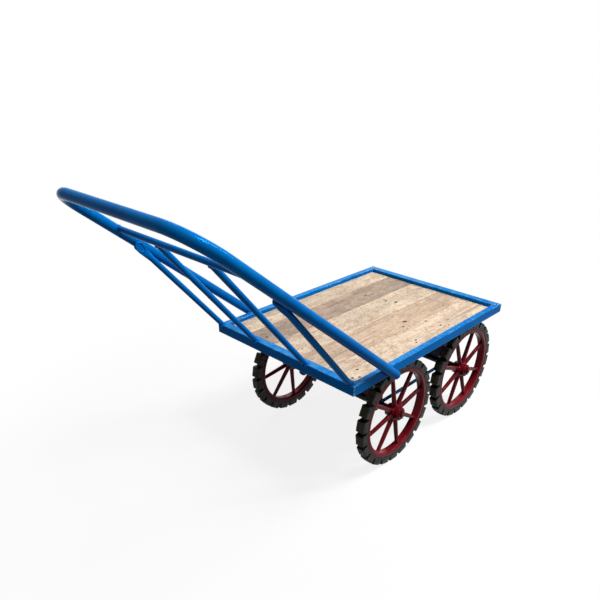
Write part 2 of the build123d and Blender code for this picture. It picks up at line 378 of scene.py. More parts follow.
def dress(nodes: Sequence[str], finish: Finish) -> None:
    """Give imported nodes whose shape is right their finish.

    Args:
        nodes: Names of the nodes.
        finish: Their material.
    """
    for node in nodes:
        cover(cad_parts[node], finish)
        LOG.info("dressed %s", node)


def middle(node: str) -> Vector:
    """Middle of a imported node's box."""
    low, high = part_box(node)
    return (low + high) / 2


def slope(node: str) -> Vector:
    """Direction up along a packed tube that leans towards the grip."""
    low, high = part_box(node)
    return Vector((0.0, low.y - high.y, high.z - low.z)).normalized()


# Finishes

class Graph:
    """Shader nodes of a material or of the world."""

    def __init__(self, owner: Union[Finish, bpy.types.World]) -> None:
        """Start the nodes of a new material or world.

        Args:
            owner: The material or world.
        """
        self.owner = owner
        owner.use_nodes = True
        self.tree = owner.node_tree

    def feed(self, node: bpy.types.Node, inputs: dict[Any, Feed]) -> None:
        """Link inputs of a node or set their constants.

        Args:
            node: The node.
            inputs: Links or constants by the inputs' names or numbers.
        """
        for key, value in inputs.items():
            if isinstance(value, Socket):
                self.tree.links.new(value, node.inputs[key])
            else:
                node.inputs[key].default_value = value

    def node(self, kind: str, inputs: dict[Any, Feed], **settings: Any) -> Any:
        """Add a node.

        Args:
            kind: Type of the node, without its common prefix.
            inputs: Links or constants for its inputs.
            settings: Its properties.

        Returns:
            Its outputs.
        """
        made = self.tree.nodes.new(f"ShaderNode{kind}")
        for key, value in settings.items():
            setattr(made, key, value)
        self.feed(made, inputs)
        return made.outputs

    def surface(self, inputs: dict[str, Feed]) -> Finish:
        """Feed the principled shader and hand over the material."""
        self.feed(self.tree.nodes["Principled BSDF"], inputs)
        return self.owner

    def place(self, stretch: Point = (1, 1, 1), shift: Point = (0, 0, 0)) -> Socket:
        """Object coordinates, stretched and shifted."""
        spot = self.node("TexCoord", {})["Object"]
        return self.node("Mapping", {"Vector": spot, "Scale": stretch, "Location": shift})["Vector"]

    def noise(self, vector: Feed, scale: float, detail: float = 3.0, roughness: float = 0.55,
              distortion: float = 0.0) -> Socket:
        """Noise from 0 to 1 over a vector."""
        inputs = {"Vector": vector, "Scale": scale, "Detail": detail, "Roughness": roughness}
        return self.node("TexNoise", {**inputs, "Distortion": distortion})["Fac"]

    def span(self, value: Feed, low: float, high: float, start: float = 0.0, end: float = 1.0) -> Socket:
        """Clamped, smooth step of a value from low to high."""
        inputs = {"Value": value, "From Min": low, "From Max": high, "To Min": start, "To Max": end}
        return self.node("MapRange", inputs, interpolation_type="SMOOTHSTEP")["Result"]

    def calc(self, operation: str, first: Feed, second: Feed = 0.0) -> Socket:
        """One sum of two values."""
        return self.node("Math", {0: first, 1: second}, operation=operation)["Value"]

    def times(self, *values: Feed) -> Socket:
        """Product of values."""
        return reduce(partial(self.calc, "MULTIPLY"), values)

    def blend(self, amount: Feed, first: Feed, second: Feed, how: str = "MIX") -> Socket:
        """Mix two colours."""
        first, second = ((*one, 1.0) if isinstance(one, tuple) else one for one in (first, second))
        return self.node("Mix", {0: amount, 6: first, 7: second}, data_type="RGBA", blend_type=how)[2]

    def edges(self, width: float) -> Socket:
        """Find where the surface turns sharply.

        Args:
            width: Distance within which it turns.

        Returns:
            0 on flat stretches to 1 on sharp edges.
        """
        rounded = self.node("Bevel", {"Radius": width}, samples=4)["Normal"]
        plain = self.node("NewGeometry", {})["Normal"]
        same = self.node("VectorMath", {0: rounded, 1: plain}, operation="DOT_PRODUCT")["Value"]
        return self.span(same, 0.985, 0.86)

    def parts(self, vector: Feed) -> Any:
        """Parts of a vector along X, Y and Z."""
        return self.node("SeparateXYZ", {0: vector})

    def length(self, vector: Feed) -> Socket:
        """Length of a vector."""
        return self.node("VectorMath", {0: vector}, operation="LENGTH")["Value"]

    def bump(self, height: Feed, depth: float, strength: float, under: Optional[Socket] = None) -> Socket:
        """Bumped normal of a height, over another one if given."""
        inputs = {"Height": height, "Distance": depth, "Strength": strength}
        return self.node("Bump", {**inputs, "Normal": under} if under else inputs)["Normal"]

    def seen(self) -> Socket:
        """Tell what is looked at from what light falls on.

        Returns:
            1 where the eye, a mirror or glass looks and 0 where light falls.
        """
        rays = self.node("LightPath", {})
        kinds = ("Is Camera Ray", "Is Glossy Ray", "Is Transmission Ray")
        return reduce(partial(self.calc, "MAXIMUM"), [rays[kind] for kind in kinds])


@dataclass(frozen=True)
class Enamel:
    """Gloss paint brushed over steel, chipped along the edges and lighter there, where the paint wore thin and as
    a painted highlight. Upward faces take a dust colour that is real dust on the chassis and axles and a painted
    top light on the frame, tubes and wheels.
    """

    name: str
    colour: Colour
    shade: Colour
    # Lighter edge colour: thin paint where it wore, and a painted highlight along the edges.
    edge: Colour
    chip: Colour
    # Colour on upward faces: dust on the chassis and axles, a painted top light on the frame, tubes and wheels.
    dust: Colour
    chips: float = 0.5
    # Share of upward faces under that colour, so also the strength of the painted top light.
    top_dust_and_light: float = 0.35
    roughness: float = 0.3
    sheen: float = 0.16
    glint: Colour = (1.0, 1.0, 1.0)
    lustre: float = 0.0
    # Strength of the lighter edge colour, both wear and painted highlight.
    wear: float = 0.3
    edge_width: float = 0.003
    brush: float = 0.22
    brush_depth: float = 0.0006
    chip_depth: float = 0.0004
    cloud_scale: float = 7.0
    patch_scale: float = 9.0
    fleck_scale: float = 95.0
    mottling_scale: float = 34.0
    brush_scale: float = 55.0

    def base(self, graph: Graph) -> Socket:
        """Colour of the whole paint, cloudy where it is thicker or thinner."""
        cloud = graph.noise(graph.place(), self.cloud_scale, 4.0, 0.6)
        return graph.blend(graph.span(cloud, 0.32, 0.68), self.shade, self.colour)

    def patches(self, graph: Graph) -> Socket:
        """Where the edges wear more and less, and take more and less of the painted edge highlight."""
        return graph.noise(graph.place(), self.patch_scale, 2.0)

    def make(self) -> Finish:
        """Build the material.

        Returns:
            The material.
        """
        graph = Graph(bpy.data.materials.new(self.name))
        spot = graph.place()
        edge = graph.edges(self.edge_width)
        patch = self.patches(graph)
        # Edges take the lighter edge colour, partly wear of the paint and partly a painted highlight.
        edge_wear_and_highlight = graph.times(edge, graph.span(patch, 0.35, 0.6), self.wear)
        sound = 0.62 - 0.14 * self.chips
        fleck = graph.noise(spot, self.fleck_scale, 5.0, 0.65)
        torn = graph.times(edge, graph.span(fleck, 0.53, 0.57), graph.span(patch, sound, sound + 0.1))
        mottling = graph.noise(spot, self.mottling_scale, 6.0, 0.7)
        # Mottled upward faces take the dust colour: dust on the chassis and axles, painted top light on the
        # frame, tubes and wheels.
        upward = graph.parts(graph.node("NewGeometry", {})["Normal"])["Z"]
        upward_dust_and_light = graph.span(upward, 0.3, 0.95, 0.0, self.top_dust_and_light)
        dusty = graph.times(upward_dust_and_light, graph.span(mottling, 0.4, 0.75))
        colour = graph.blend(edge_wear_and_highlight, self.base(graph), self.edge)
        colour = graph.blend(dusty, colour, self.dust)
        gloss = graph.span(mottling, 0.25, 0.8, self.roughness * 0.75, self.roughness * 1.5)
        dull = graph.times(graph.calc("ADD", torn, dusty), 0.4)
        brushed = graph.bump(graph.noise(spot, self.brush_scale), self.brush_depth, self.brush)
        whole = graph.calc("SUBTRACT", 1.0, torn)
        return graph.surface({
            "Base Color": graph.blend(torn, colour, self.chip),
            "Roughness": graph.calc("ADD", gloss, dull),
            "Metallic": self.lustre,
            "Specular IOR Level": self.sheen,
            "Specular Tint": (*self.glint, 1.0),
            "Normal": graph.bump(whole, self.chip_depth, 0.6, brushed),
        })


@dataclass(frozen=True)
class RailEnamel(Enamel):
    """Frame paint that is knocked off at the corners of the deck frame."""

    reach: float = 0.06
    knocks: float = 0.32

    def patches(self, graph: Graph) -> Socket:
        """Wear the edges, and lay the painted edge highlight, most near the four corners.

        Args:
            graph: Nodes of the material.

        Returns:
            Where the edges wear more and less, and take more and less of the painted edge highlight.
        """
        low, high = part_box("front_rail")[0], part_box("rear_rail")[1]
        centre, half = (low + high) / 2, (high - low) / 2
        parts = graph.parts(graph.place(shift=(-centre.x, -centre.y, 0.0)))
        near = [graph.span(graph.calc("ABSOLUTE", parts[axis]), limit - self.reach, limit)
                for axis, limit in (("X", half.x), ("Y", half.y))]
        return graph.calc("ADD", super().patches(graph), graph.times(*near, self.knocks))


@dataclass(frozen=True)
class AxlePaint(Enamel):
    """Chassis paint on a bar whose ends were painted with the wheels."""

    end_colour: Colour = (0.1, 0.01, 0.016)
    end_from: float = 0.238
    end_fade: float = 0.003
    end_scale: float = 70.0
    raggedness: float = 0.012

    def base(self, graph: Graph) -> Socket:
        """Paint the middle in the chassis colour and both ends in the wheels' colour.

        Args:
            graph: Nodes of the material.

        Returns:
            The colour.
        """
        across = graph.calc("ABSOLUTE", graph.parts(graph.place())["X"])
        ragged = graph.times(graph.noise(graph.place(), self.end_scale), self.raggedness)
        ends = graph.span(graph.calc("ADD", across, ragged), self.end_from, self.end_from + self.end_fade)
        return graph.blend(ends, super().base(graph), self.end_colour)


@dataclass(frozen=True)
class Timber:
    """Old sawn board with grain along Y, stains, flecks and knots.

    A knot is a place across, a place along and a radius. A fleck is a stretch, a limit and a depth.
    """

    name: str
    pale: Colour
    brown: Colour
    dark: Colour
    grey: Colour
    stain: Colour
    drift: float = 0.0
    weather: float = 0.5
    knots: tuple[Point, ...] = ()
    knot_colour: Colour = (0.03, 0.02, 0.014)
    flecks: tuple[tuple[Point, float, float], ...] = (
        ((95, 60, 95), 0.715, 0.88), ((190, 105, 190), 0.668, 0.88), ((420, 190, 420), 0.622, 0.8))
    scribe_colour: Colour = (0.12, 0.16, 0.24)
    scribe_y: float = 0.637
    scribe_from: float = -0.165
    scribe_to: float = 0.19
    scribe_fade: float = 0.01

    def knot_mask(self, graph: Graph) -> Feed:
        """Mark dark nail holes and knots.

        Args:
            graph: Nodes of the material.

        Returns:
            1 in the knots, 0 elsewhere.
        """
        wobble = graph.span(graph.noise(graph.place(), 60.0), 0.2, 0.8, 0.6, 1.5)
        total: Feed = 0.0
        for across, along, radius in self.knots:
            away = graph.length(graph.place((1.0, 0.8, 0.0), (-across, -0.8 * along, 0.0)))
            knot = graph.span(graph.times(away, wobble), radius * 1.15, radius * 0.7)
            total = graph.calc("MAXIMUM", total, knot)
        return total

    def scribe_mask(self, graph: Graph) -> Socket:
        """Mark a broken line that was once drawn across the boards.

        Args:
            graph: Nodes of the material.

        Returns:
            1 on the line, 0 elsewhere.
        """
        parts = graph.parts(graph.place())
        across = parts["X"]
        wander = graph.times(graph.noise(graph.place(), 4.0), 0.012)
        away = graph.calc("SUBTRACT", graph.calc("ADD", parts["Y"], wander), self.scribe_y)
        line = graph.span(graph.calc("ABSOLUTE", away), 0.0045, 0.0015)
        after = graph.span(across, self.scribe_from, self.scribe_from + self.scribe_fade)
        before = graph.span(across, self.scribe_to, self.scribe_to - self.scribe_fade)
        broken = graph.span(graph.noise(graph.place((1.0, 0.2, 1.0)), 40.0), 0.4, 0.6)
        return graph.times(line, after, before, broken)

    def make(self) -> Finish:
        """Build the material.

        Returns:
            The material.
        """
        graph = Graph(bpy.data.materials.new(self.name))

        def mottle(stretch: Point, detail: float, roughness: float = 0.55, bend: float = 0.0) -> Socket:
            """Noise stretched over this board alone."""
            shift = (self.drift, 2.3 * self.drift, 0.0)
            return graph.noise(graph.place(stretch, shift), 1.0, detail, roughness, bend)

        figure = mottle((16, 1.1, 16), 4.0, 0.6, 1.2)
        streak = mottle((85, 2.4, 85), 5.0, 0.65, 0.4)
        fibre = mottle((480, 11, 480), 3.0, 0.6)
        sawn = mottle((2, 210, 30), 2.0)
        cloud = mottle((9, 4, 9), 7.0, 0.68, 0.4)
        stain = mottle((40, 26, 40), 6.0, 0.8)
        grain = graph.calc("ADD", graph.times(figure, 0.55), graph.times(streak, 0.45))
        colour = graph.blend(graph.span(grain, 0.36, 0.54), self.brown, self.pale)
        colour = graph.blend(graph.span(streak, 0.41, 0.3, 0.0, 0.5), colour, self.dark)
        colour = graph.blend(graph.span(cloud, 0.44, 0.64, 0.0, self.weather), colour, self.grey)
        colour = graph.blend(graph.span(stain, 0.46, 0.62, 0.0, 0.74), colour, self.stain)
        tone = graph.span(fibre, 0.25, 0.75, 0.8, 1.1)
        toned = graph.node("CombineXYZ", {axis: tone for axis in range(3)})[0]
        colour = graph.blend(1.0, colour, toned, "MULTIPLY")
        dirty = graph.span(cloud, 0.36, 0.58, 0.25, 1.0)
        for stretch, limit, depth in self.flecks:
            fleck = graph.span(mottle(stretch, 2.0, 0.5), limit, limit + 0.03)
            colour = graph.blend(graph.times(fleck, dirty, depth), colour, self.dark)
        colour = graph.blend(graph.times(self.scribe_mask(graph), 0.6), colour, self.scribe_colour)
        knots = self.knot_mask(graph)
        raised = graph.bump(streak, 0.002, 0.5, graph.bump(sawn, 0.0012, 0.35))
        raised = graph.bump(fibre, 0.0008, 0.5, raised)
        return graph.surface({
            "Base Color": graph.blend(graph.times(knots, 0.92), colour, self.knot_colour),
            "Roughness": graph.span(streak, 0.3, 0.7, 0.9, 0.68),
            "Specular IOR Level": 0.25,
            "Normal": graph.bump(knots, -0.002, 0.7, raised),
        })


@dataclass(frozen=True)
class Rubber:
    """Tyre rubber, dusty on the tread faces and rubbed shiny on the shoulders."""

    name: str
    colour: Colour
    dust: Colour
    tread_attribute: str = "tread"
    grit_scale: float = 140.0
    patch_scale: float = 38.0

    def make(self) -> Finish:
        """Build the material.

        Returns:
            The material.
        """
        graph = Graph(bpy.data.materials.new(self.name))
        spot = graph.place()
        tread = graph.node("Attribute", {}, attribute_name=self.tread_attribute)["Fac"]
        grit = graph.noise(spot, self.grit_scale, 6.0, 0.75)
        patch = graph.noise(spot, self.patch_scale, 5.0, 0.65)
        film = graph.times(graph.span(tread, 0.45, 0.95, 0.03, 1.0), graph.span(patch, 0.34, 0.6),
                           graph.span(grit, 0.35, 0.66, 0.25, 1.0))
        return graph.surface({
            "Base Color": graph.blend(film, self.colour, self.dust),
            "Roughness": graph.span(film, 0.0, 0.6, 0.36, 0.8),
            "Specular IOR Level": 0.12,
            "Normal": graph.bump(grit, 0.0014, 0.7, graph.bump(patch, 0.006, 0.7)),
        })


@dataclass(frozen=True)
class BareMetal:
    """Unpainted metal that has dulled or rusted in spots."""

    name: str
    colour: Colour
    tarnish: Colour
    metallic: float
    roughness: float
    spot_scale: float = 160.0

    def make(self) -> Finish:
        """Build the material.

        Returns:
            The material.
        """
        graph = Graph(bpy.data.materials.new(self.name))
        spots = graph.noise(graph.place(), self.spot_scale, 5.0, 0.65)
        dull = min(1.0, self.roughness + 0.35)
        return graph.surface({
            "Base Color": graph.blend(graph.span(spots, 0.42, 0.62), self.colour, self.tarnish),
            "Roughness": graph.span(spots, 0.4, 0.65, self.roughness, dull),
            "Metallic": self.metallic,
            "Normal": graph.bump(spots, 0.0004, 0.5),
        })


# The frame's dust colour is a pale cyan painted top light on upward faces, and its light edge colour is partly a
# painted highlight; the tubes take both too.
FRAME_ENAMEL = RailEnamel(
    "frame_enamel", colour=(0.0, 0.175, 0.57), shade=(0.0, 0.135, 0.48), edge=(0.06, 0.4, 0.7),
    chip=(0.74, 0.77, 0.8), dust=(0.09, 0.33, 0.48), chips=0.65, top_dust_and_light=0.7, roughness=0.15, sheen=0.013,
    glint=(0.4, 0.8, 1.0), lustre=0.1, wear=0.6, edge_width=0.007)
TUBE_ENAMEL = replace(FRAME_ENAMEL, name="tube_enamel", chips=-1.0, top_dust_and_light=0.15, knocks=0.0, edge_width=0.002,
                      brush=0.04, roughness=0.11, sheen=0.015)
CHASSIS_ENAMEL = Enamel(
    "chassis_enamel", colour=(0.004, 0.017, 0.065), shade=(0.003, 0.011, 0.045), edge=(0.02, 0.05, 0.13),
    chip=(0.09, 0.045, 0.025), dust=(0.12, 0.1, 0.08), chips=0.4, roughness=0.38, sheen=0.12)
AXLE_ENAMEL = AxlePaint(
    "axle_enamel", colour=(0.004, 0.015, 0.055), shade=(0.003, 0.01, 0.04), edge=(0.02, 0.05, 0.13),
    chip=(0.09, 0.045, 0.025), dust=(0.12, 0.1, 0.08), chips=0.3, roughness=0.38, sheen=0.12)
# The wheels' dust colour is a lighter red painted top light on upward faces, and their light edge colour is
# partly a painted highlight.
WHEEL_ENAMEL = Enamel(
    "wheel_enamel", colour=(0.225, 0.009, 0.017), shade=(0.125, 0.004, 0.009), edge=(0.36, 0.03, 0.04),
    chip=(0.05, 0.025, 0.02), dust=(0.24, 0.04, 0.05), chips=0.4, top_dust_and_light=0.05, roughness=0.12, sheen=0.065,
    glint=(1.0, 0.8, 0.82), lustre=0.07)
TYRE_RUBBER = Rubber("tyre_rubber", colour=(0.006, 0.0055, 0.005), dust=(0.14, 0.112, 0.078))
FASTENER_STEEL = BareMetal("fastener_steel", (0.3, 0.27, 0.24), (0.11, 0.06, 0.035), 0.8, 0.45)
BUSH_BRONZE = BareMetal("bush_bronze", (0.5, 0.33, 0.14), (0.2, 0.12, 0.05), 1.0, 0.35)
TIMBER_1 = Timber(
    "timber_1", pale=(0.77, 0.63, 0.47), brown=(0.6, 0.45, 0.33), dark=(0.1, 0.055, 0.036),
    grey=(0.52, 0.42, 0.33), stain=(0.47, 0.31, 0.2), knots=((-0.303, 0.3, 0.004),))
TIMBERS = (
    TIMBER_1,
    Timber("timber_2", pale=(0.5, 0.38, 0.29), brown=(0.37, 0.27, 0.2), dark=(0.1, 0.066, 0.05),
           grey=(0.32, 0.25, 0.2), stain=(0.27, 0.18, 0.12), drift=3.7, weather=0.8,
           knots=((-0.148, 0.457, 0.005), (-0.148, -0.155, 0.005))),
    replace(TIMBER_1, name="timber_3", drift=7.1, weather=0.55,
            knots=((-0.045, 0.472, 0.006), (-0.005, 0.49, 0.008), (0.02, -0.13, 0.004))),
    replace(TIMBER_1, name="timber_4", pale=(0.68, 0.51, 0.37), brown=(0.46, 0.32, 0.22),
            grey=(0.38, 0.29, 0.22), drift=11.9, weather=0.6,
            knots=((0.145, 0.345, 0.008), (0.17, 0.3, 0.005))),
    replace(TIMBER_1, name="timber_5", pale=(0.8, 0.64, 0.48), drift=17.3, weather=0.45, knots=(
        (0.26, 0.49, 0.004), (0.29, 0.445, 0.004), (0.268, 0.422, 0.005), (0.203, 0.412, 0.005),
        (0.247, 0.345, 0.004), (0.275, 0.235, 0.005), (0.288, 0.218, 0.004), (0.263, -0.105, 0.005),
        (0.29, -0.165, 0.005), (0.302, -0.142, 0.004), (0.276, -0.134, 0.003), (0.311, -0.118, 0.003),
        (0.232, -0.158, 0.003), (0.305, -0.18, 0.005), (0.248, -0.178, 0.004))),
)


# Sub-assemblies

@dataclass
class Crack:
    """Split along a board: its place across and the stretch along that it takes."""

    node: str
    across: float
    start: float
    end: float
    width: float = 0.0011
    depth: float = 0.006


CRACKS = (
    Crack("deck_board_2", -0.14, 0.46, 0.65),
    Crack("deck_board_2", -0.176, -0.18, -0.02, 0.0008),
    Crack("deck_board_3", -0.03, 0.56, 0.735, 0.0008),
    Crack("deck_board_4", 0.118, 0.08, 0.36, 0.0009),
    Crack("deck_board_5", 0.244, -0.195, -0.09, 0.0009),
    Crack("deck_board_1", -0.266, 0.5, 0.735, 0.0007),
)


@dataclass
class Deck:
    """Five sawn boards and the screws that hold them."""

    grey_board: int = 2
    columns: int = 15
    rows: int = 84
    arris: float = 0.0016
    unevenness: float = 0.0016
    warp_grain: float = 0.14
    weather_grain: float = 0.02
    screw_inset: float = 0.023
    head_sides: int = 20
    head_radius: float = 0.004
    head_height: float = 0.0012
    head_proud: float = 0.0004
    dish: float = 0.0016
    dish_depth: float = 0.0006
    dish_share: float = 0.45
    turn_by_row: float = 1.1
    turn_across: float = 9.0

    def build_board(self, node: str) -> Piece:
        """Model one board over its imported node.

        Args:
            node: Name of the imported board.

        Returns:
            The board.
        """
        low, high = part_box(node)
        size, centre = high - low, (low + high) / 2

        def on_outline(place: Vector) -> bool:
            """Tell whether an edge lies on the outline of the upper or the lower face."""
            side = min(abs(place[axis] - limit[axis]) for axis in (0, 1) for limit in (low, high))
            return max(side, min(abs(place.z - high.z), abs(place.z - low.z))) < WELD_TOLERANCE

        board = added(f"{node}_plank", bpy.ops.mesh.primitive_grid_add, x_subdivisions=self.columns,
                      y_subdivisions=self.rows, size=1.0)
        with editing(board):
            resize((size.x, size.y, 1.0))
            move(centre.x, centre.y, high.z)
            extrude(0, 0, -size.z)
            mend()
            for crack in CRACKS:
                if crack.node == node:
                    self.open_crack(board, crack, high.z)
            choose(board, Pick.EDGES, lambda place, run: on_outline(place))
            bevel(self.arris, 3)
        roughen(board, self.warp_grain, self.unevenness)
        roughen(board, self.weather_grain, self.unevenness / 4)
        return board

    def open_crack(self, board: Piece, crack: Crack, top: float) -> None:
        """Cut a narrow groove with closed ends into the top of a board in edit mode.

        Args:
            board: Board in edit mode.
            crack: The split.
            top: Height of the board's upper face.
        """
        bpy.ops.mesh.select_all(action="SELECT")
        bpy.ops.mesh.bisect(plane_co=(crack.across, 0, 0), plane_no=(1, 0, 0))

        def on_line(place: Vector, slack: float) -> bool:
            """Tell whether a place on the upper face lies on the split."""
            inside = crack.start < place.y < crack.end
            return inside and abs(place.x - crack.across) < slack and place.z > top - WELD_TOLERANCE

        choose(board, Pick.EDGES,
               lambda place, run: on_line(place, WELD_TOLERANCE) and abs(run.x) < abs(run.y))
        bevel(crack.width, 2)
        choose(board, Pick.POINTS, lambda place, normal: on_line(place, crack.width / 3))
        move(0, 0, -crack.depth)

    def build_screws(self) -> Piece:
        """Model one dished screw head and set it along the boards.

        Returns:
            All screw heads as one piece.
        """
        head = added("screw_pattern", bpy.ops.mesh.primitive_cylinder_add, vertices=self.head_sides,
                     radius=self.head_radius, depth=self.head_height)
        with editing(head):
            choose(head, Pick.FACES, lambda place, normal: normal.z > SQUARE_ON)
            bpy.ops.mesh.inset(thickness=self.dish)
            extrude(0, 0, -self.dish_depth)
            resize((1.0, self.dish_share, 1.0))
            choose(head, Pick.EDGES,
                   lambda place, run: place.z > 0 and place.xy.length > NEAR_EDGE * self.head_radius)
            bevel(self.head_proud, 2)
        rows = [middle(node).y for node in ("front_ledge", "front_axle", "rear_axle", "rear_ledge")]
        places = []
        for number in range(1, len(TIMBERS) + 1):
            low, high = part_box(f"deck_board_{number}")
            level = high.z + self.head_proud - self.head_height / 2
            for across in (low.x + self.screw_inset, high.x - self.screw_inset):
                for count, along in enumerate(rows):
                    turn = Matrix.Rotation(self.turn_by_row * count + self.turn_across * across, 4, "Z")
                    places.append(Matrix.Translation((across, along, level)) @ turn)
        screws = copied(head, "deck_screw_heads", places)
        discard(head)
        return screws

    def build(self) -> None:
        """Build and dress the boards and the screws."""
        for number, timber in enumerate(TIMBERS, start=1):
            node = f"deck_board_{number}"
            fit(self.build_board(node), Body.CHASSIS, timber.make(), [node])
        fit(self.build_screws(), Body.CHASSIS, FASTENER_STEEL.make(), ["deck_screws"])


@dataclass
class WheelPattern:
    """One wheel modelled about the X axis: tyre, rim, hub and a spoke.

    Each wear is the size of the unevenness and how far it goes in and out.
    """

    tyre_radius: float = 0.222
    root_radius: float = 0.199
    half_tread: float = 0.018
    half_crown: float = 0.005
    half_bead: float = 0.0138
    bead_radius: float = 0.1735
    bead_step: float = 0.0008
    lug_count: int = 22
    pitch_steps: int = 14
    lug_steps: int = 12
    lug_narrowing: float = 0.97
    lug_taper: float = 0.965
    lug_edge: float = 0.0055
    edge_steps: int = 4
    lug_seam: float = 0.0002
    shoulder: float = 0.004
    tyre_wear: tuple[tuple[float, float], ...] = ((0.03, 0.0016), (0.008, 0.0006))
    rim_radius: float = 0.19
    web_radius: float = 0.17
    half_rim: float = 0.017
    rim_sheet: float = 0.003
    rim_corner: float = 0.007
    rim_steps: int = 132
    rim_crease: float = 50.0
    rim_wear: tuple[float, float] = (0.05, 0.0006)
    hub_radius: float = 0.0285
    half_hub: float = 0.03
    hub_bore: float = 0.0131
    hub_round: float = 0.0035
    hub_steps: int = 72
    half_collar: float = 0.014
    collar_height: float = 0.0016
    collar_slope: float = 0.003
    hub_wear: tuple[float, float] = (0.02, 0.0007)
    spoke_root: float = 0.0098
    spoke_tip: float = 0.0075
    spoke_sides: int = 28
    spoke_rings: int = 9
    spoke_stub: float = 0.02
    spoke_sink: float = 0.001
    weld_leg: float = 0.0032
    weld_reach: float = 1.5
    weld_flare: tuple[tuple[float, float], ...] = ((0.0, 0.0), (0.4, 0.12), (0.75, 0.5), (1.0, 1.0))
    spoke_wear: tuple[float, float] = (0.03, 0.0009)

    def tyre(self) -> Piece:
        """Model the lugged tyre: one lug with its stretch of carcass, then all of them round the axle.

        Returns:
            The tyre.
        """
        half_pitch = math.pi / self.lug_count
        rounding = self.shoulder / 3
        section = both_sides([
            (self.half_bead, self.bead_radius), (self.half_bead, self.rim_radius),
            (self.half_tread, self.rim_radius + self.bead_step),
            (self.half_tread, self.root_radius - self.shoulder),
            (self.half_tread - rounding, self.root_radius - rounding),
            (self.half_tread - self.shoulder, self.root_radius), (self.half_crown, self.root_radius),
        ])
        tyre = draw_line("tyre_pattern", section + section[:1])
        with editing(tyre):
            bpy.ops.transform.rotate(value=half_pitch, orient_axis="X", center_override=(0, 0, 0))
        leading = max(point.co.y for point in tyre.data.vertices) > 0
        with editing(tyre):
            spin(self.pitch_steps, -2 * half_pitch if leading else 2 * half_pitch)
            mend()
            self.raise_lug(tyre, half_pitch * self.lug_steps / self.pitch_steps)
            bpy.ops.mesh.select_all(action="SELECT")
            spin(self.lug_count - 1, FULL_TURN * (self.lug_count - 1) / self.lug_count, apart=True)
            mend(self.lug_seam)
        for grain, depth in self.tyre_wear:
            roughen(tyre, grain, depth)
        return tyre

    def raise_lug(self, tyre: Piece, reach: float) -> None:
        """Raise one flat-topped lug with rounded edges on the stretch of carcass in edit mode.

        Args:
            tyre: Stretch of carcass in edit mode.
            reach: Angle about the axle from the middle of the lug to its end.
        """
        def under_lug(place: Vector) -> bool:
            """Tell whether a face lies under the lug."""
            outer = place.yz.length > self.root_radius - self.shoulder
            return outer and abs(math.atan2(place.y, place.z)) < reach

        def beyond(height: float) -> Test:
            """Test for places at more than a height over the root of the lugs."""
            return lambda place, normal: place.yz.length > self.root_radius + height

        choose(tyre, Pick.FACES, lambda place, normal: under_lug(place))
        level = self.tyre_radius - self.lug_edge
        extrude(0, 0, level - self.root_radius)
        resize((self.lug_narrowing, self.lug_taper, 0), (0, 0, level))
        half = Vector((self.lug_narrowing * self.half_tread,
                       self.lug_taper * self.root_radius * math.sin(reach)))
        size, top = half, level
        for step in range(1, self.edge_steps + 1):
            turn = QUARTER_TURN * step / self.edge_steps
            goal = half - Vector((1, 1)) * self.lug_edge * (1 - math.cos(turn))
            rise = level + self.lug_edge * math.sin(turn) - top
            extrude(0, 0, rise)
            top += rise
            resize((goal.x / size.x, goal.y / size.y, 1), (0, 0, top))
            size = goal
        choose(tyre, Pick.FACES, beyond(WELD_TOLERANCE))
        bpy.ops.mesh.subdivide(number_cuts=1)
        choose(tyre, Pick.POINTS, beyond(self.shoulder))
        bpy.ops.mesh.vertices_smooth(factor=0.5, repeat=3)

    def rim(self) -> Piece:
        """Model the rolled channel of the rim.

        Returns:
            The rim.
        """
        channel = both_sides([(self.half_rim, self.rim_radius), (self.half_rim, self.web_radius)])
        rim = draw_line("rim_pattern", channel)
        with editing(rim):
            choose(rim, Pick.POINTS, lambda place, normal: place.z < self.web_radius + WELD_TOLERANCE)
            bevel(self.rim_corner, 6, "VERTICES")
        turn_about_axle(rim, self.rim_steps)
        roughen(rim, *self.rim_wear)
        inmost = min(rim.data.polygons, key=lambda face: sum(map(abs, face.center)))
        outwards = inmost.normal.yz.dot(inmost.center.yz) > 0
        refine(rim, "SOLIDIFY", thickness=self.rim_sheet, offset=1.0 if outwards else -1.0)
        with editing(rim):
            bpy.ops.mesh.select_all(action="DESELECT")
            bpy.ops.mesh.edges_select_sharp(sharpness=math.radians(self.rim_crease))
            bevel(self.rim_sheet / 3, 2)
        return rim

    def hub(self) -> Piece:
        """Model the hub barrel with rounded ends and a raised collar where the spokes are welded.

        Returns:
            The hub.
        """
        waist = self.hub_radius - self.collar_height
        barrel = both_sides([
            (self.half_hub, self.hub_bore), (self.half_hub, waist),
            (self.half_collar + self.collar_slope, waist), (self.half_collar, self.hub_radius),
        ])
        hub = draw_line("hub_pattern", barrel + barrel[:1])
        turn_about_axle(hub, self.hub_steps)

        def round_end(place: Vector, run: Vector) -> bool:
            """Tell whether an edge goes round the outside of an end."""
            at_end = abs(abs(place.x) - self.half_hub) < WELD_TOLERANCE
            return at_end and place.yz.length > NEAR_EDGE * waist and abs(run.x) < WELD_TOLERANCE

        with editing(hub):
            choose(hub, Pick.EDGES, round_end)
            bevel(self.hub_round, 4)
        roughen(hub, *self.hub_wear)
        return hub

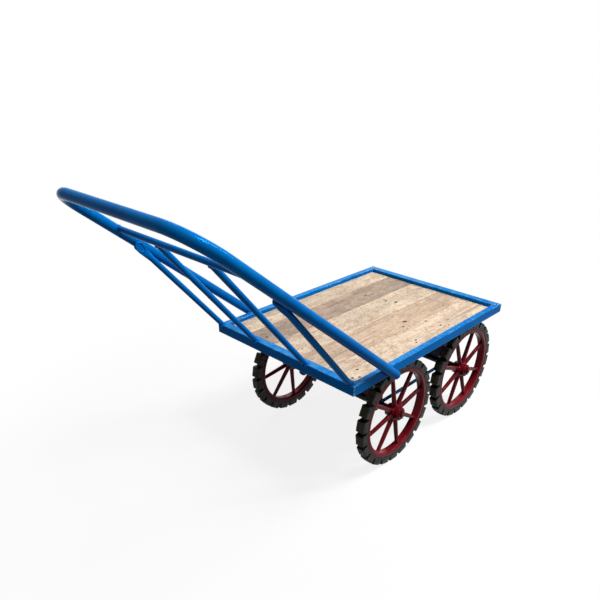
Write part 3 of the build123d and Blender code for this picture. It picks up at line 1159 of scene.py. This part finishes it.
    def spoke(self) -> Piece:
        """Model one tapered spoke along +Y with the flare of a weld at both ends.

        Returns:
            The spoke.
        """
        inner = self.hub_radius - self.collar_height
        outer = self.web_radius + self.spoke_sink
        centre = (inner + outer) / 2
        waist = (self.spoke_root + self.spoke_tip) / 2
        spoke = rod("spoke_pattern", waist, self.spoke_stub, self.spoke_sides)
        with editing(spoke):
            move(0, centre, 0)
            for end, way, radius in ((inner, -1, self.spoke_root), (outer, 1, self.spoke_tip)):
                choose(spoke, Pick.FACES, lambda place, normal: way * normal.y > SQUARE_ON)
                here, size = centre + way * self.spoke_stub / 2, waist
                for share, flare in self.weld_flare:
                    goal = end - way * self.weld_leg * (1 - share) * self.weld_reach
                    width = radius + flare * self.weld_leg
                    extrude(0, goal - here, 0)
                    resize((width / size, 1, width / size), (0, goal, 0))
                    here, size = goal, width
            choose(spoke, Pick.EDGES, lambda place, run: abs(run.y) > self.spoke_stub)
            bpy.ops.mesh.subdivide(number_cuts=self.spoke_rings)
            mend()
        roughen(spoke, *self.spoke_wear)
        return spoke


@dataclass
class Wheel:
    """One wheel of the cart, copied from the pattern."""

    body: Body
    turn: float
    lug_shift: int
    spoke_count: int = 8

    @property
    def name(self) -> str:
        """Which wheel it is."""
        return self.body.value.removesuffix("_wheel")

    def build(self, pattern: WheelPattern, parts: dict[str, Piece], finishes: dict[Slot, Finish]) -> None:
        """Place and dress the pieces of the wheel.

        Args:
            pattern: Sizes of the wheel.
            parts: Patterns of its pieces.
            finishes: Materials by slot.
        """
        stand = Matrix.Translation(middle(f"{self.name}_hub"))
        rolled = [stand @ Matrix.Rotation(FULL_TURN * self.lug_shift / pattern.lug_count, 4, "X")]
        step = 360 / self.spoke_count
        angles = [math.radians(self.turn + step * count) for count in range(self.spoke_count)]
        spread = [stand @ Matrix.Rotation(angle, 4, "X") for angle in angles]
        for node, name, slot, places, crease in (
            ("tyre", "lugged_tyre", Slot.TYRE, rolled, 35.0), ("rim", "rolled_rim", Slot.WHEEL, rolled, 40.0),
            ("hub", "hub_barrel", Slot.WHEEL, rolled, 40.0),
            ("spokes", "welded_spokes", Slot.WHEEL, spread, 40.0),
        ):
            piece = copied(parts[node], f"{self.name}_{name}", places)
            if slot is Slot.TYRE:
                self.mark_tread(piece, pattern)
            fit(piece, self.body, finishes[slot], [f"{self.name}_{node}"], crease)
        dress([f"{self.name}_bush"], finishes[Slot.BUSH])

    def mark_tread(self, tyre: Piece, pattern: WheelPattern) -> None:
        """Store on every point how far out it lies and how much it faces outwards, from 0 to 1 together.

        Args:
            tyre: The tyre in its place.
            pattern: Sizes of the wheel.
        """
        centre = middle(f"{self.name}_hub").yz
        height = pattern.tyre_radius - pattern.root_radius
        shares = []
        for point in tyre.data.vertices:
            out = point.co.yz - centre
            share = (out.length - pattern.root_radius) / height
            shares.append(min(1.0, max(0.0, share)) * max(0.0, point.normal.yz.dot(out.normalized())))
        tread = tyre.data.attributes.new(TYRE_RUBBER.tread_attribute, "FLOAT", "POINT")
        tread.data.foreach_set("value", shares)


WHEELS = (Wheel(Body.FRONT_LEFT, 6.0, 3), Wheel(Body.FRONT_RIGHT, 12.0, 0),
          Wheel(Body.REAR_LEFT, 30.0, 9), Wheel(Body.REAR_RIGHT, 23.0, 15))


@dataclass
class Handle:
    """Bent hoop of the handle with its crossbar and struts."""

    paint: Finish
    hoop_radius: float = 0.0175
    hoop_wall: float = 0.003
    grip_half: float = 0.3475
    bend_radius: float = 0.125
    bend_steps: int = 40
    round_steps: int = 11
    tube_wall: float = 0.002
    tube_ring: float = 0.012
    tube_sides: int = 56
    tube_wear: tuple[float, float] = (0.06, 0.0005)
    strut_inset: float = 0.002
    strut_sink: float = 0.013
    strut_short: float = 0.002

    def hoop(self) -> Piece:
        """Model the hoop along a line with rounded corners.

        Returns:
            The hoop, as an open tube.
        """
        low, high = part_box("handle_hoop")
        corner = Vector((self.grip_half, low.y + self.hoop_radius, high.z - self.hoop_radius))
        foot = Vector((high.x - self.hoop_radius, high.y - self.hoop_radius * math.sin(HANDLE_LEAN),
                       low.z + self.hoop_radius * math.cos(HANDLE_LEAN)))
        mirror = Vector((-1, 1, 1))
        hoop = draw_line("bent_handle_hoop", [foot * mirror, corner * mirror, corner, foot])
        turn = Vector((1, 0, 0)).angle(foot - corner)
        with editing(hoop):
            choose(hoop, Pick.POINTS, lambda place, normal: place.z > corner.z - WELD_TOLERANCE)
            bevel(self.bend_radius * math.tan(turn / 2), self.bend_steps, "VERTICES")
        take(hoop)
        bpy.ops.object.convert(target="CURVE")
        hoop.data.bevel_depth = self.hoop_radius
        hoop.data.bevel_resolution = self.round_steps
        bpy.ops.object.convert(target="MESH")
        refine(hoop, "SOLIDIFY", thickness=self.hoop_wall, offset=-1.0)
        return hoop

    def tube(self, name: str, start: Vector, end: Vector) -> Piece:
        """Model a straight thin tube, open at both ends and a little uneven.

        Args:
            name: Its name.
            start: Middle of one end.
            end: Middle of the other end.

        Returns:
            The tube.
        """
        run = end - start
        tube = added(name, bpy.ops.mesh.primitive_cylinder_add, vertices=self.tube_sides, radius=THIN_TUBE,
                     depth=run.length, end_fill_type="NOTHING")
        with editing(tube):
            choose(tube, Pick.EDGES, lambda place, way: abs(way.z) > run.length / 2)
            bpy.ops.mesh.subdivide(number_cuts=int(run.length / self.tube_ring))
        roughen(tube, *self.tube_wear)
        refine(tube, "SOLIDIFY", thickness=self.tube_wall, offset=-1.0)
        tube.data.transform(facing((start + end) / 2, run, "Z", "X"))
        return tube

    def build(self) -> None:
        """Build and dress the hoop, the crossbar and the struts."""
        low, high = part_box("handle_crossbar")
        bar = middle("handle_crossbar")
        rail_low, rail_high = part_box("front_rail")
        ends = [Vector((across, bar.y, bar.z)) for across in (low.x, high.x)]
        pieces = {"handle_hoop": self.hoop(), "handle_crossbar": self.tube("handle_cross_tube", *ends)}
        for node in ("left_strut", "right_strut"):
            top = Vector((middle(node).x, bar.y, bar.z))
            foot = Vector((top.x, rail_low.y + self.strut_inset, rail_high.z))
            way = (foot - top).normalized()
            start, end = top + way * self.strut_short, foot + way * self.strut_sink
            pieces[node] = self.tube(f"{node}_tube", start, end)
        for node, piece in pieces.items():
            fit(piece, Body.CHASSIS, self.paint, [node])


@dataclass
class Welds:
    """Weld beads on the handle and the rails, and the rims pressed up round the flat ends of the braces."""

    tube_paint: Finish
    rail_paint: Finish
    bead: float = 0.0024
    seam: float = 0.0016
    ring_sink: float = 0.35
    ring_steps: int = 64
    ring_sides: int = 10
    ripple: float = 0.0035
    ripple_share: float = 0.75
    end_inset: float = 0.0015
    bead_sides: int = 12
    bead_round: float = 0.7
    bead_step: float = 0.0012
    leg_contact: float = -0.0573
    leg_beside: float = 0.0068
    lower_length: float = 0.05
    lower_reach: float = 0.019
    upper_length: float = 0.03
    upper_reach: float = 0.029
    side_rail: float = 0.025
    end_rail: float = 0.035
    seam_short: float = 0.003
    mitre_sink: float = 0.7
    corner_sink: float = 0.4
    paddle_half_length: float = 0.0192
    paddle_half_width: float = 0.0132
    paddle_inset: float = 0.02
    paddle_rim: float = 0.0021
    paddle_proud: float = 0.0007
    paddle_point: Point = (1.12, 0.9, 1)
    paddle_steps: int = 72
    paddle_sides: int = 12
    paddle_grain: float = 0.006
    paddle_wear: float = 0.4
    crease: float = 60.0

    def ring(self, bead: float) -> Piece:
        """Model a rippled bead round a tube along Z.

        Args:
            bead: Its thickness.

        Returns:
            The bead.
        """
        ring = added("ring_pattern", bpy.ops.mesh.primitive_torus_add,
                     major_radius=THIN_TUBE + bead * self.ring_sink, minor_radius=bead,
                     major_segments=self.ring_steps, minor_segments=self.ring_sides)
        roughen(ring, self.ripple, bead * self.ripple_share)
        return ring

    def straight(self, length: float, radius: float) -> Piece:
        """Model a rippled straight bead along Y.

        Args:
            length: Its length.
            radius: Its thickness.

        Returns:
            The bead.
        """
        bead = rod("bead_pattern", radius, length, self.bead_sides)
        with editing(bead):
            choose(bead, Pick.EDGES, lambda place, run: abs(run.y) < WELD_TOLERANCE)
            bevel(radius * self.bead_round, 3)
            choose(bead, Pick.EDGES, lambda place, run: abs(run.y) > length / 2)
            bpy.ops.mesh.subdivide(number_cuts=int(length / self.bead_step))
        roughen(bead, self.ripple, radius * self.ripple_share)
        return bead

    def lay(self, pattern: Piece, name: str, places: Sequence[Matrix], paint: Finish) -> None:
        """Copy a bead or rim to its places and dress it.

        Args:
            pattern: The bead or rim, which isn't kept.
            name: Name of the piece.
            places: Where the copies go.
            paint: Its finish.
        """
        piece = copied(pattern, name, places)
        discard(pattern)
        # Mirrored copies come out with their faces turned inwards.
        if places[0].is_negative:
            with editing(piece):
                mend()
        fit(piece, Body.CHASSIS, paint, crease=self.crease)

    def build_handle_rings(self) -> None:
        """Place the beads round the ends of the handle's tubes."""
        bar = middle("handle_crossbar")
        feet = []
        ends = []
        for node in ("left_strut", "left_brace", "right_strut", "right_brace"):
            lean = slope(node)
            foot = Vector((middle(node).x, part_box(node)[1].y - THIN_TUBE / lean.z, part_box("front_rail")[1].z))
            feet.append(Matrix.Translation(foot) @ Matrix.Diagonal((1.0, 1.0 / lean.z, 1.0, 1.0)))
            if node.endswith("strut"):
                ends.append(facing(Vector((foot.x, bar.y, bar.z)) - lean * THIN_TUBE, lean, "Z", "X"))
        low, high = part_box("handle_crossbar")
        for across in (low.x + self.end_inset, high.x - self.end_inset):
            spot = Matrix.Translation((across, bar.y, bar.z))
            ends.append(spot @ Matrix.Rotation(QUARTER_TURN, 4, "Y"))
        self.lay(self.ring(self.bead), "handle_weld_beads", feet, self.tube_paint)
        self.lay(self.ring(self.seam), "crossbar_weld_beads", ends, self.tube_paint)

    def build_paddle_rims(self) -> None:
        """Model the rim that pressing raised round the flat end of a brace and set one on each brace."""
        rim = added("paddle_pattern", bpy.ops.mesh.primitive_torus_add,
                    major_radius=self.paddle_half_width, minor_radius=self.paddle_rim,
                    major_segments=self.paddle_steps, minor_segments=self.paddle_sides)
        with editing(rim):
            resize((self.paddle_half_length / self.paddle_half_width, 1, 1))
            choose(rim, Pick.POINTS, lambda place, normal: place.x < 0)
            resize(self.paddle_point)
        roughen(rim, self.paddle_grain, self.paddle_rim * self.paddle_wear)
        places = []
        across = Vector((1, 0, 0))
        for node, inwards in (("left_brace", 1), ("right_brace", -1)):
            lean = slope(node)
            turn = Matrix((lean, lean.cross(across), across)).transposed().to_4x4()
            low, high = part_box(node)
            spot = Vector((middle(node).x + inwards * self.paddle_proud, low.y + self.paddle_inset,
                           high.z - self.paddle_inset))
            places.append(Matrix.Translation(spot) @ turn)
        self.lay(rim, "pressed_brace_rims", places, self.tube_paint)

    def build_frame_runs(self) -> None:
        """Place the beads along the legs and over the mitres of the rails."""
        low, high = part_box("front_rail")
        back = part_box("rear_rail")[1].y
        along = Vector((0.0, math.cos(HANDLE_LEAN), -math.sin(HANDLE_LEAN)))
        above = Vector((0.0, math.sin(HANDLE_LEAN), math.cos(HANDLE_LEAN)))
        beads = {
            "lower": self.straight(self.lower_length, self.bead),
            "upper": self.straight(self.upper_length, self.bead),
            "mitre": self.straight(math.hypot(self.side_rail, self.end_rail) - self.seam_short, self.seam),
            "corner": self.straight(high.z - low.z - self.seam_short, self.seam),
        }
        places: dict[str, list[Matrix]] = {kind: [] for kind in beads}
        for side in (-1, 1):
            landing = Vector((side * high.x, self.leg_contact, high.z))
            for kind, reach, rise in (("lower", self.lower_reach, -self.leg_beside),
                                      ("upper", self.upper_reach, self.leg_beside)):
                places[kind].append(facing(landing + along * reach + above * rise, along, "Y", "Z"))
            for edge, inward in ((low.y, 1), (back, -1)):
                cut = Vector((-side * self.side_rail, inward * self.end_rail, 0.0))
                top = Vector((side * high.x, edge, high.z - self.mitre_sink * self.seam))
                places["mitre"].append(facing(top + cut / 2, cut, "Y", "Z"))
                inset = Vector((-side, inward, 0)) * self.corner_sink * self.seam
                upright = Vector((side * high.x, edge, (low.z + high.z) / 2)) + inset
                places["corner"].append(facing(upright, Vector((0, 0, 1)), "Y", "X"))
        for kind, bead in beads.items():
            self.lay(bead, f"{kind}_weld_beads", places[kind], self.rail_paint)


def hang(held: Union[bpy.types.Light, bpy.types.Camera], place: Vector, turn: Euler) -> Piece:
    """Put a lamp or the camera in its place.

    Args:
        held: The lamp or the camera.
        place: Where it goes.
        turn: How it is turned.

    Returns:
        The object that holds it.
    """
    holder = bpy.data.objects.new(held.name, held)
    bpy.context.scene.collection.objects.link(holder)
    holder.location = place
    holder.rotation_euler = turn
    return holder


@dataclass
class Stage:
    """Floor, light and the camera of the photograph."""

    camera_place: Point = (1.350314, -1.522374, 1.477233)
    pan: float = 44.9189
    tilt: float = 63.3505
    roll: float = 0.1953
    lens: float = 34.8248
    sensor: float = 36.0
    shift: tuple[float, float] = (0.01448, 0.07271)
    aim: Point = (0.0, 0.1, 0.5)
    lamp_distance: float = 4.0
    floor_size: float = 30.0
    floor_bounce: float = 0.12
    shadow_lift: float = 0.85
    shadow_from: float = 0.9
    shadow_to: float = 1.7
    world_fill: float = 0.09

    def build_floor(self) -> None:
        """Lay a white floor that keeps a pale shadow and throws little light back."""
        floor = added("floor", bpy.ops.mesh.primitive_plane_add, size=self.floor_size)
        graph = Graph(bpy.data.materials.new("floor_white"))
        bounce = graph.node("BsdfDiffuse", {"Color": (*[self.floor_bounce] * 3, 1.0)})[0]
        shadowed = graph.node("BsdfDiffuse", {"Color": WHITE})[0]
        white = graph.node("Emission", {"Color": WHITE, "Strength": 1.0})[0]
        away = graph.length(graph.place())
        lift = graph.span(away, self.shadow_from, self.shadow_to, self.shadow_lift, 1.0)
        pale = graph.node("MixShader", {0: lift, 1: shadowed, 2: white})[0]
        whole = graph.node("MixShader", {0: graph.seen(), 1: bounce, 2: pale})[0]
        graph.feed(graph.tree.nodes["Material Output"], {"Surface": whole})
        cover(floor, graph.owner)

    def add_softbox(self, name: str, way: Point, size: tuple[float, float], power: float) -> None:
        """Hang a flat lamp that faces the cart.

        Args:
            name: Name of the lamp.
            way: Direction from the cart to the lamp.
            size: Its width and its height.
            power: Its power in watts.
        """
        lamp = bpy.data.lights.new(name, "AREA")
        lamp.energy = power
        lamp.shape = "RECTANGLE"
        lamp.size, lamp.size_y = size
        out = Vector(way).normalized()
        hang(lamp, Vector(self.aim) + out * self.lamp_distance, out.to_track_quat("Z", "Y").to_euler())

    def build_world(self) -> None:
        """Make the surroundings white to the eye and a weak fill light on the cart."""
        graph = Graph(bpy.data.worlds.new("studio"))
        bpy.context.scene.world = graph.owner
        strength = graph.span(graph.seen(), 0.0, 1.0, self.world_fill, 1.0)
        graph.feed(graph.tree.nodes["Background"], {"Color": WHITE, "Strength": strength})

    def build_camera(self) -> None:
        """Set the camera at the place and angle from which the cart was photographed."""
        camera = bpy.data.cameras.new("camera")
        camera.lens = self.lens
        camera.sensor_width = self.sensor
        camera.shift_x, camera.shift_y = self.shift
        turn = Matrix.Identity(3)
        for angle, axis in ((self.pan, "Z"), (self.tilt, "X"), (self.roll, "Z")):
            turn = turn @ Matrix.Rotation(math.radians(angle), 3, axis)
        bpy.context.scene.camera = hang(camera, Vector(self.camera_place), turn.to_euler())

    def build(self) -> None:
        """Set the stage."""
        self.build_floor()
        self.add_softbox("key_softbox", (0.38, 0.08, 0.92), (1.0, 1.0), 94.0)
        self.add_softbox("strip_softbox", (0.4, 0.57, 0.72), (0.4, 3.8), 124.0)
        self.add_softbox("back_softbox", (-0.62, 0.62, 0.48), (2.6, 2.6), 40.0)
        self.build_world()
        self.build_camera()
        bpy.context.scene.view_settings.view_transform = "Standard"


def main() -> None:
    """Build the sub-assemblies in order and log each piece."""
    logging.basicConfig(level=logging.INFO, format="%(message)s")
    rail_paint = FRAME_ENAMEL.make()
    tube_paint = TUBE_ENAMEL.make()
    wheel_paint = WHEEL_ENAMEL.make()
    Deck().build()
    dress(["front_rail", "rear_rail", "left_rail", "right_rail", "left_tie", "right_tie"], rail_paint)
    Handle(tube_paint).build()
    dress(["left_brace", "right_brace"], tube_paint)
    hangers = [f"{end}_{side}_hanger" for end in ("front", "rear") for side in ("left", "right")]
    dress(["front_ledge", "rear_ledge", "front_bearer", "rear_bearer", *hangers], CHASSIS_ENAMEL.make())
    dress(["front_axle", "rear_axle"], AXLE_ENAMEL.make())
    dress(["axle_washers", "split_pins"], wheel_paint)
    welds = Welds(tube_paint, rail_paint)
    welds.build_handle_rings()
    welds.build_paddle_rims()
    welds.build_frame_runs()
    pattern = WheelPattern()
    parts = {"tyre": pattern.tyre(), "rim": pattern.rim(), "hub": pattern.hub(), "spokes": pattern.spoke()}
    finishes = {Slot.WHEEL: wheel_paint, Slot.TYRE: TYRE_RUBBER.make(), Slot.BUSH: BUSH_BRONZE.make()}
    for wheel in WHEELS:
        wheel.build(pattern, parts, finishes)
    discard(*parts.values())
    Stage().build()


if __name__ == "__main__":
    main()
